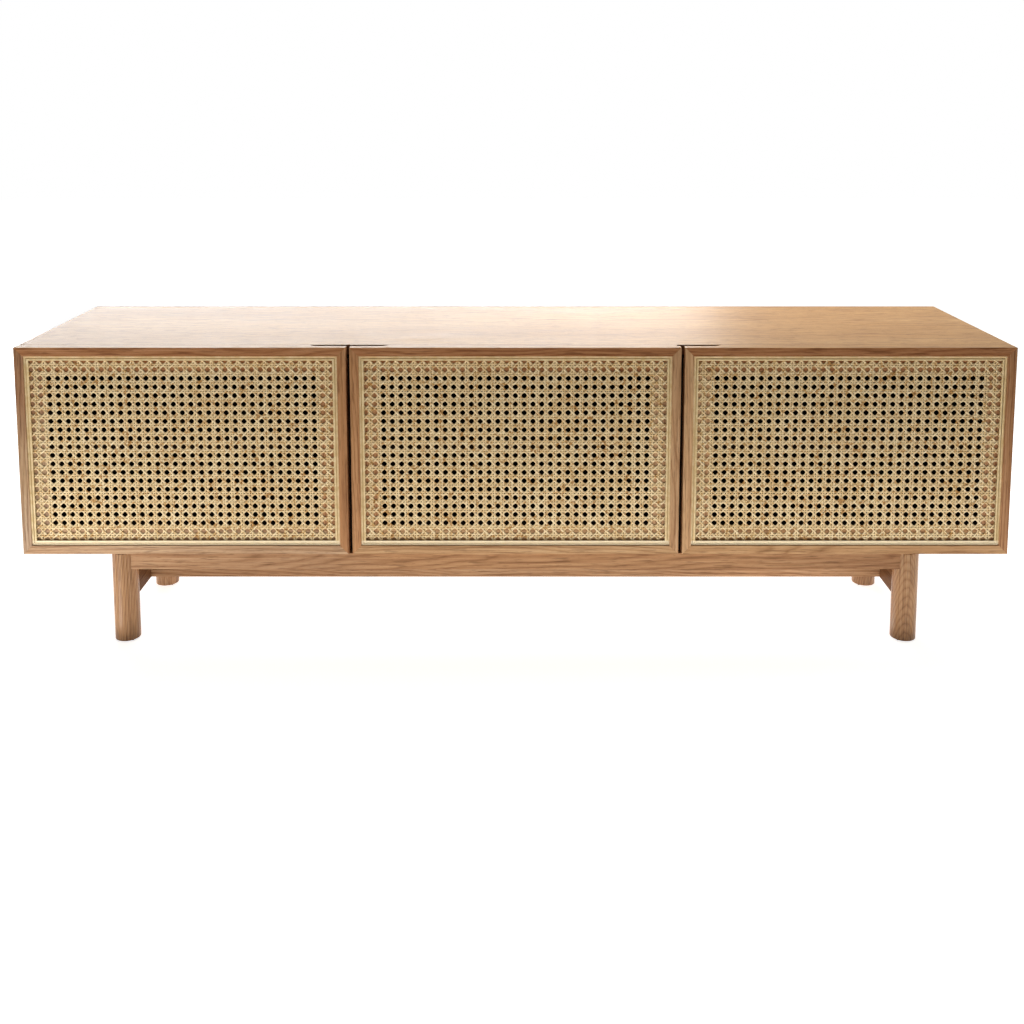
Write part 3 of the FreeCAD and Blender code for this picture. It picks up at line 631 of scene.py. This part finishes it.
# Screws, in mm; the head's profile is in shares of its radius and height
HEAD_PROFILE = (
    (0.0, 1.0), (0.18, 1.0), (0.34, 0.98), (0.50, 0.95),
    (0.66, 0.88), (0.84, 0.68), (0.96, 0.36), (1.0, 0.0),
)
HEAD_SIDES = 24
RECESS_REACH = 0.55
RECESS_HALF = 0.13
RECESS_FLOOR = 0.15


def screw_head(radius, height):
    """A pan head with a cross recess, standing on Z = 0, and the faces that lie in the recess."""
    points = []
    for share, level in HEAD_PROFILE:
        for i in range(HEAD_SIDES):
            turn = 2 * math.pi * i / HEAD_SIDES
            x, y = share * math.cos(turn), share * math.sin(turn)
            sunk = share < RECESS_REACH and min(abs(x), abs(y)) < RECESS_HALF
            points.append((x * radius, y * radius, (RECESS_FLOOR if sunk else level) * height))
    faces, recess = [], []
    for ring in range(len(HEAD_PROFILE) - 1):
        for i in range(HEAD_SIDES):
            after = (i + 1) % HEAD_SIDES
            base = ring * HEAD_SIDES
            face = (base + i, base + HEAD_SIDES + i, base + HEAD_SIDES + after, base + after)
            if ring == 0:
                face = face[:3]
            faces.append(face)
            recess.append(all(points[corner][2] < (RECESS_FLOOR + 0.05) * height for corner in face))
    return points, faces, recess


def screws(name, body, places, radius, height, finish=steel):
    """One piece of many screw heads; places are (x, y, z, direction) in mm."""
    head_points, head_faces, head_recess = screw_head(radius, height)
    draw = random.Random(name)
    vertices, faces, recess = [], [], []
    for x, y, z, direction in places:
        turn = Vector(direction).to_track_quat("Z", "Y").to_matrix()
        spin = draw.uniform(0, math.pi)
        cosine, sine = math.cos(spin), math.sin(spin)
        first = len(vertices)
        for px, py, pz in head_points:
            spun = Vector((px * cosine - py * sine, px * sine + py * cosine, pz))
            vertices.append((turn @ spun + Vector((x, y, z))) * MM)
        faces += [tuple(corner + first for corner in face) for face in head_faces]
        recess += head_recess
    mesh = bpy.data.meshes.new(name)
    mesh.from_pydata(vertices, [], faces)
    # The faces in the recess take the near-black recess steel, as painted shade.
    mesh.materials.append(finish)
    mesh.materials.append(recess_shade_steel)
    mesh.polygons.foreach_set("material_index", [int(sunk) for sunk in recess])
    mesh.shade_smooth()
    add_piece(mesh, body)


# Per door: the hinge edge's X, the direction inward, the X of the hinge plates' faces
HINGE_SIDES = {
    "left_door": (-900, 1, -877.5),
    "middle_door": (297.667, -1, 287.667),
    "right_door": (900, -1, 877.5),
}
HINGE_LEVELS = (245, 480)
DOOR_BACK = -176
CUP_INSET = 20.5
CUP_SCREW_RISE = 24
PLATE_SCREW_Y = -142
PLATE_SCREW_RISE = 12
ARM_SCREW_Y = -127
ARM_THICKNESS = 3
plate_screws, arm_screws = [], []
for door, (edge, inward, plate_face) in HINGE_SIDES.items():
    cup_screws = []
    for level in HINGE_LEVELS:
        for sign in (-1, 1):
            cup_level = level + sign * CUP_SCREW_RISE
            cup_screws.append((edge + CUP_INSET * inward, DOOR_BACK, cup_level, (0, 1, 0)))
            plate_level = level + sign * PLATE_SCREW_RISE
            plate_screws.append((plate_face, PLATE_SCREW_Y, plate_level, (inward, 0, 0)))
        arm_screws.append((plate_face + ARM_THICKNESS * inward, ARM_SCREW_Y, level, (inward, 0, 0)))
    screws(door + "_cup_screws", door, cup_screws, 3.8, 0.25)
screws("hinge_plate_screws", "case", plate_screws, 3.6, 1.6)
screws("hinge_arm_screws", "case", arm_screws, 3.2, 1.8)

PANEL_ENDS = (-891, -301.167, 301.167, 891)
BACK_FACE = 198
BACK_ROWS = (182.3, 541.2)
BACK_MIDDLE = 361.7
BACK_ROW_COUNT = 5
BACK_ROW_INSET = 28
BACK_SIDE_INSET = 4.6
back_panels = list(zip(PANEL_ENDS, PANEL_ENDS[1:]))
back_screws = []
for left, right in back_panels:
    for i in range(BACK_ROW_COUNT):
        x = left + BACK_ROW_INSET + (right - left - 2 * BACK_ROW_INSET) * i / (BACK_ROW_COUNT - 1)
        back_screws += [(x, BACK_FACE, z, (0, 1, 0)) for z in BACK_ROWS]
    for x in (left + BACK_SIDE_INSET, right - BACK_SIDE_INSET):
        back_screws.append((x, BACK_FACE, BACK_MIDDLE, (0, 1, 0)))
screws("back_panel_screws", "case", back_screws, 3.4, 1.5, dark_steel)

BAYS = ((-882, -310.167), (-292.167, 292.167), (310.167, 882))
SUPPORT_ROWS = (-96.5, 146)
SUPPORT_LEVEL = 336
SUPPORT_THICKNESS = 2.5
support_screws = []
for left, right in BAYS:
    for y in SUPPORT_ROWS:
        support_screws.append((left + SUPPORT_THICKNESS, y, SUPPORT_LEVEL, (1, 0, 0)))
        support_screws.append((right - SUPPORT_THICKNESS, y, SUPPORT_LEVEL, (-1, 0, 0)))
screws("shelf_support_screws", "case", support_screws, 3.2, 1.4)


# Brush strips in the cable slots, in mm
SLOT_HALF_LENGTH = 55
SLOT_HALF_HEIGHT = 22
SLOT_CORNER = 21.1
SLOT_LEVEL = 269.5
BRISTLE_ROWS = (193.2, 194.4, 195.6, 196.8)
BRISTLE_PITCH = 1.1
BRISTLE_STATIONS = (0.0, 0.5, 1.0)
BRISTLE_WIDTHS = (0.95, 0.9, 0.7)
BRISTLE_SECTION = ((-0.5, -0.5), (0.5, -0.5), (0.5, 0.5), (-0.5, 0.5))


def bristle_material():
    """Dark nylon, a little different from bristle to bristle."""
    material, tree, shader, coordinates = new_material("bristles")
    strands = noise(tree, scaled(tree, coordinates, (900, 900, 40)), 1.0, 2.0, 0.6)
    dust = noise(tree, coordinates, 120.0, 3.0)
    colour = mixed(tree, strands, (0.006, 0.006, 0.005), (0.020, 0.018, 0.017))
    colour = mixed(tree, remap(tree, dust, 0.55, 0.8, 0.0, 0.2), colour, (0.06, 0.055, 0.05))
    tree.links.new(colour, shader.inputs["Base Color"])
    tree.links.new(remap(tree, strands, 0.2, 0.8, 0.42, 0.60), shader.inputs["Roughness"])
    shader.inputs["Specular IOR Level"].default_value = 0.2
    bump(tree, shader, strands, 0.2, 0.0001)
    return material


def slot_half_height(offset):
    """Half of a slot's height, at an offset from its middle."""
    past = max(0.0, abs(offset) - (SLOT_HALF_LENGTH - SLOT_CORNER))
    return SLOT_HALF_HEIGHT - SLOT_CORNER + math.sqrt(max(0.0, SLOT_CORNER ** 2 - past ** 2))


def bristle(line, first):
    """The corners and faces of one bristle along three points in mm, counted from a first corner."""
    corners = []
    for (x, y, z), width in zip(line, BRISTLE_WIDTHS):
        corners += [Vector((x + across * width, y + deep * width, z)) * MM for across, deep in BRISTLE_SECTION]
    faces = []
    for base in (first, first + 4):
        for k in range(4):
            after = (k + 1) % 4
            faces.append((base + k, base + after, base + 4 + after, base + 4 + k))
    faces += [(first + 3, first + 2, first + 1, first), tuple(range(first + 8, first + 12))]
    return corners, faces


def cable_brushes(name, middles):
    """Bristles that reach from both long edges of each slot past its middle line, in staggered rows."""
    draw = random.Random(name)
    count = int(2 * (SLOT_HALF_LENGTH - 1) / BRISTLE_PITCH)
    places = [
        (middle, y, (i + row / len(BRISTLE_ROWS) - (count - 1) / 2) * BRISTLE_PITCH, side)
        for middle in middles for row, y in enumerate(BRISTLE_ROWS) for i in range(count) for side in (-1, 1)
    ]
    vertices, faces = [], []
    for middle, y, offset, side in places:
        reach = slot_half_height(offset)
        lean, swing = draw.uniform(-1.0, 1.0), draw.uniform(-0.3, 0.3)
        tip = draw.uniform(-6.0, -3.0) * min(1.0, reach / SLOT_HALF_HEIGHT)
        line = []
        for station in BRISTLE_STATIONS:
            bend = station ** 2
            level = SLOT_LEVEL + side * (reach - (reach - tip) * station)
            line.append((middle + offset + lean * bend, y + swing * bend, level))
        corners, quads = bristle(line, len(vertices))
        vertices += corners
        faces += quads if side < 0 else [quad[::-1] for quad in quads]
    mesh = bpy.data.meshes.new(name)
    mesh.from_pydata(vertices, [], faces)
    mesh.materials.append(bristle_material())
    add_piece(mesh, "case")


cable_brushes("cable_brushes", [(left + right) / 2 for left, right in back_panels])


# Camera: the shift takes up part of the view's height, and the tilt takes up the rest
TILT_DOWN = 6.447
camera_data = bpy.data.cameras.new("camera")
camera_data.sensor_width = 36
camera_data.lens = 38.775
camera_data.shift_x = -0.00334
camera_data.shift_y = -0.28
camera = bpy.data.objects.new("camera", camera_data)
camera.location = (0, -2.1380, 0.9947)
camera.rotation_euler = (math.radians(90 - TILT_DOWN), 0, 0)
scene.collection.objects.link(camera)
scene.camera = camera


# Floor, light and background
WORLD_LIGHT = 0.15
FLOOR_HALF = 9
GLOW_REACH = (1.2, 3.5)
GLOW_STRENGTH = (0.80, 0.89)


def white_when_seen(tree, output_socket, shown, lighting):
    """Joins two shaders: one for what the camera, glass and metal see, one for the light given off."""
    path = add(tree, "LightPath")
    seen = math_node(tree, "MAXIMUM", path.outputs["Is Camera Ray"], path.outputs["Is Glossy Ray"])
    seen = math_node(tree, "MAXIMUM", seen, path.outputs["Is Transmission Ray"])
    mix = add(tree, "MixShader", {0: seen, 1: lighting, 2: shown})
    tree.links.new(mix.outputs[0], output_socket)


world = bpy.data.worlds.new("studio")
scene.world = world
world.use_nodes = True
tree = world.node_tree
tree.nodes.clear()
output = tree.nodes.new("ShaderNodeOutputWorld")
shown = add(tree, "Background", {"Color": (1, 1, 1, 1), "Strength": 1.0}).outputs[0]
lighting = add(tree, "Background", {"Color": (1.0, 0.99, 0.97, 1), "Strength": WORLD_LIGHT}).outputs[0]
white_when_seen(tree, output.inputs["Surface"], shown, lighting)

floor_mesh = bpy.data.meshes.new("floor")
corners = [(x * FLOOR_HALF, y * FLOOR_HALF, 0) for x, y in ((-1, -1), (1, -1), (1, 1), (-1, 1))]
floor_mesh.from_pydata(corners, [], [(0, 1, 2, 3)])
floor = bpy.data.objects.new("floor", floor_mesh)
scene.collection.objects.link(floor)
floor_material = bpy.data.materials.new("floor")
floor_material.use_nodes = True
tree = floor_material.node_tree
tree.nodes.clear()
output = tree.nodes.new("ShaderNodeOutputMaterial")
lit = add(tree, "BsdfDiffuse", {"Color": (0.82, 0.82, 0.82, 1)}).outputs[0]
shade = add(tree, "BsdfDiffuse", {"Color": (0.80, 0.80, 0.80, 1)}).outputs[0]
place = add(tree, "TexCoord").outputs["Object"]
reach = add(tree, "VectorMath", {0: place}, operation="LENGTH").outputs["Value"]
strength = remap(tree, reach, *GLOW_REACH, *GLOW_STRENGTH)
glow = add(tree, "Emission", {"Color": (1, 1, 1, 1), "Strength": strength}).outputs[0]
shown = add(tree, "AddShader", {0: shade, 1: glow}).outputs[0]
white_when_seen(tree, output.inputs["Surface"], shown, lit)
floor_mesh.materials.append(floor_material)


def softbox(name, location, target, width, height, watts, reflected=True):
    """A rectangular lamp, hidden from the camera, and from reflections where it is only a fill."""
    data = bpy.data.lights.new(name, "AREA")
    data.shape = "RECTANGLE"
    data.size = width
    data.size_y = height
    data.energy = watts
    lamp = bpy.data.objects.new(name, data)
    lamp.location = location
    aim = Vector(target) - Vector(location)
    lamp.rotation_euler = aim.to_track_quat("-Z", "Y").to_euler()
    lamp.visible_camera = False
    lamp.visible_glossy = reflected
    scene.collection.objects.link(lamp)


# Behind and above: the window's reflection makes the left of the top pale
softbox("back_window", (-0.92, 2.6, 1.10), (-0.52, 0.0, 0.6), 3.7, 0.5, 90)
softbox("overhead", (0.60, 0.25, 1.25), (0.60, 0.25, 0.0), 0.9, 0.7, 8.8)
softbox("overhead_left", (-0.60, 0.15, 1.25), (-0.60, 0.15, 0.0), 1.0, 0.7, 2.1)
# From the right
softbox("right_fill", (2.7, 0.25, 0.8), (0.9, 0.1, 0.35), 1.4, 1.0, 11, reflected=False)
# At floor level: the fills light the doors and legs from below, the strips put streaks on the legs
softbox("floor_glow", (-0.03, -0.47, 0.001), (-0.03, -0.47, 1.0), 2.8, 0.46, 9.8, reflected=False)
softbox("under_glow", (0.0, 0.0, 0.001), (0.0, 0.0, 1.0), 1.9, 0.35, 2.3, reflected=False)
softbox("left_glow", (-1.2, -0.85, 0.001), (-1.2, -0.85, 1.0), 0.6, 0.6, 1.8, reflected=False)
softbox("left_foot_strip", (-0.884, -0.368, 0.002), (-0.8808, -0.3642, 1.0), 0.055, 0.34, 0.32)
softbox("right_foot_strip", (0.500, -0.121, 0.002), (0.5049, -0.1222, 1.0), 0.05, 0.34, 0.12)
# From the left
softbox("low_left", (-2.2, -0.5, 0.18), (0.0, -0.15, 0.08), 0.4, 0.3, 5)
softbox("left_key", (-2.4, -2.4, 1.7), (-0.4, -0.2, 0.3), 0.7, 0.7, 4.5)

scene.view_settings.view_transform = "Standard"
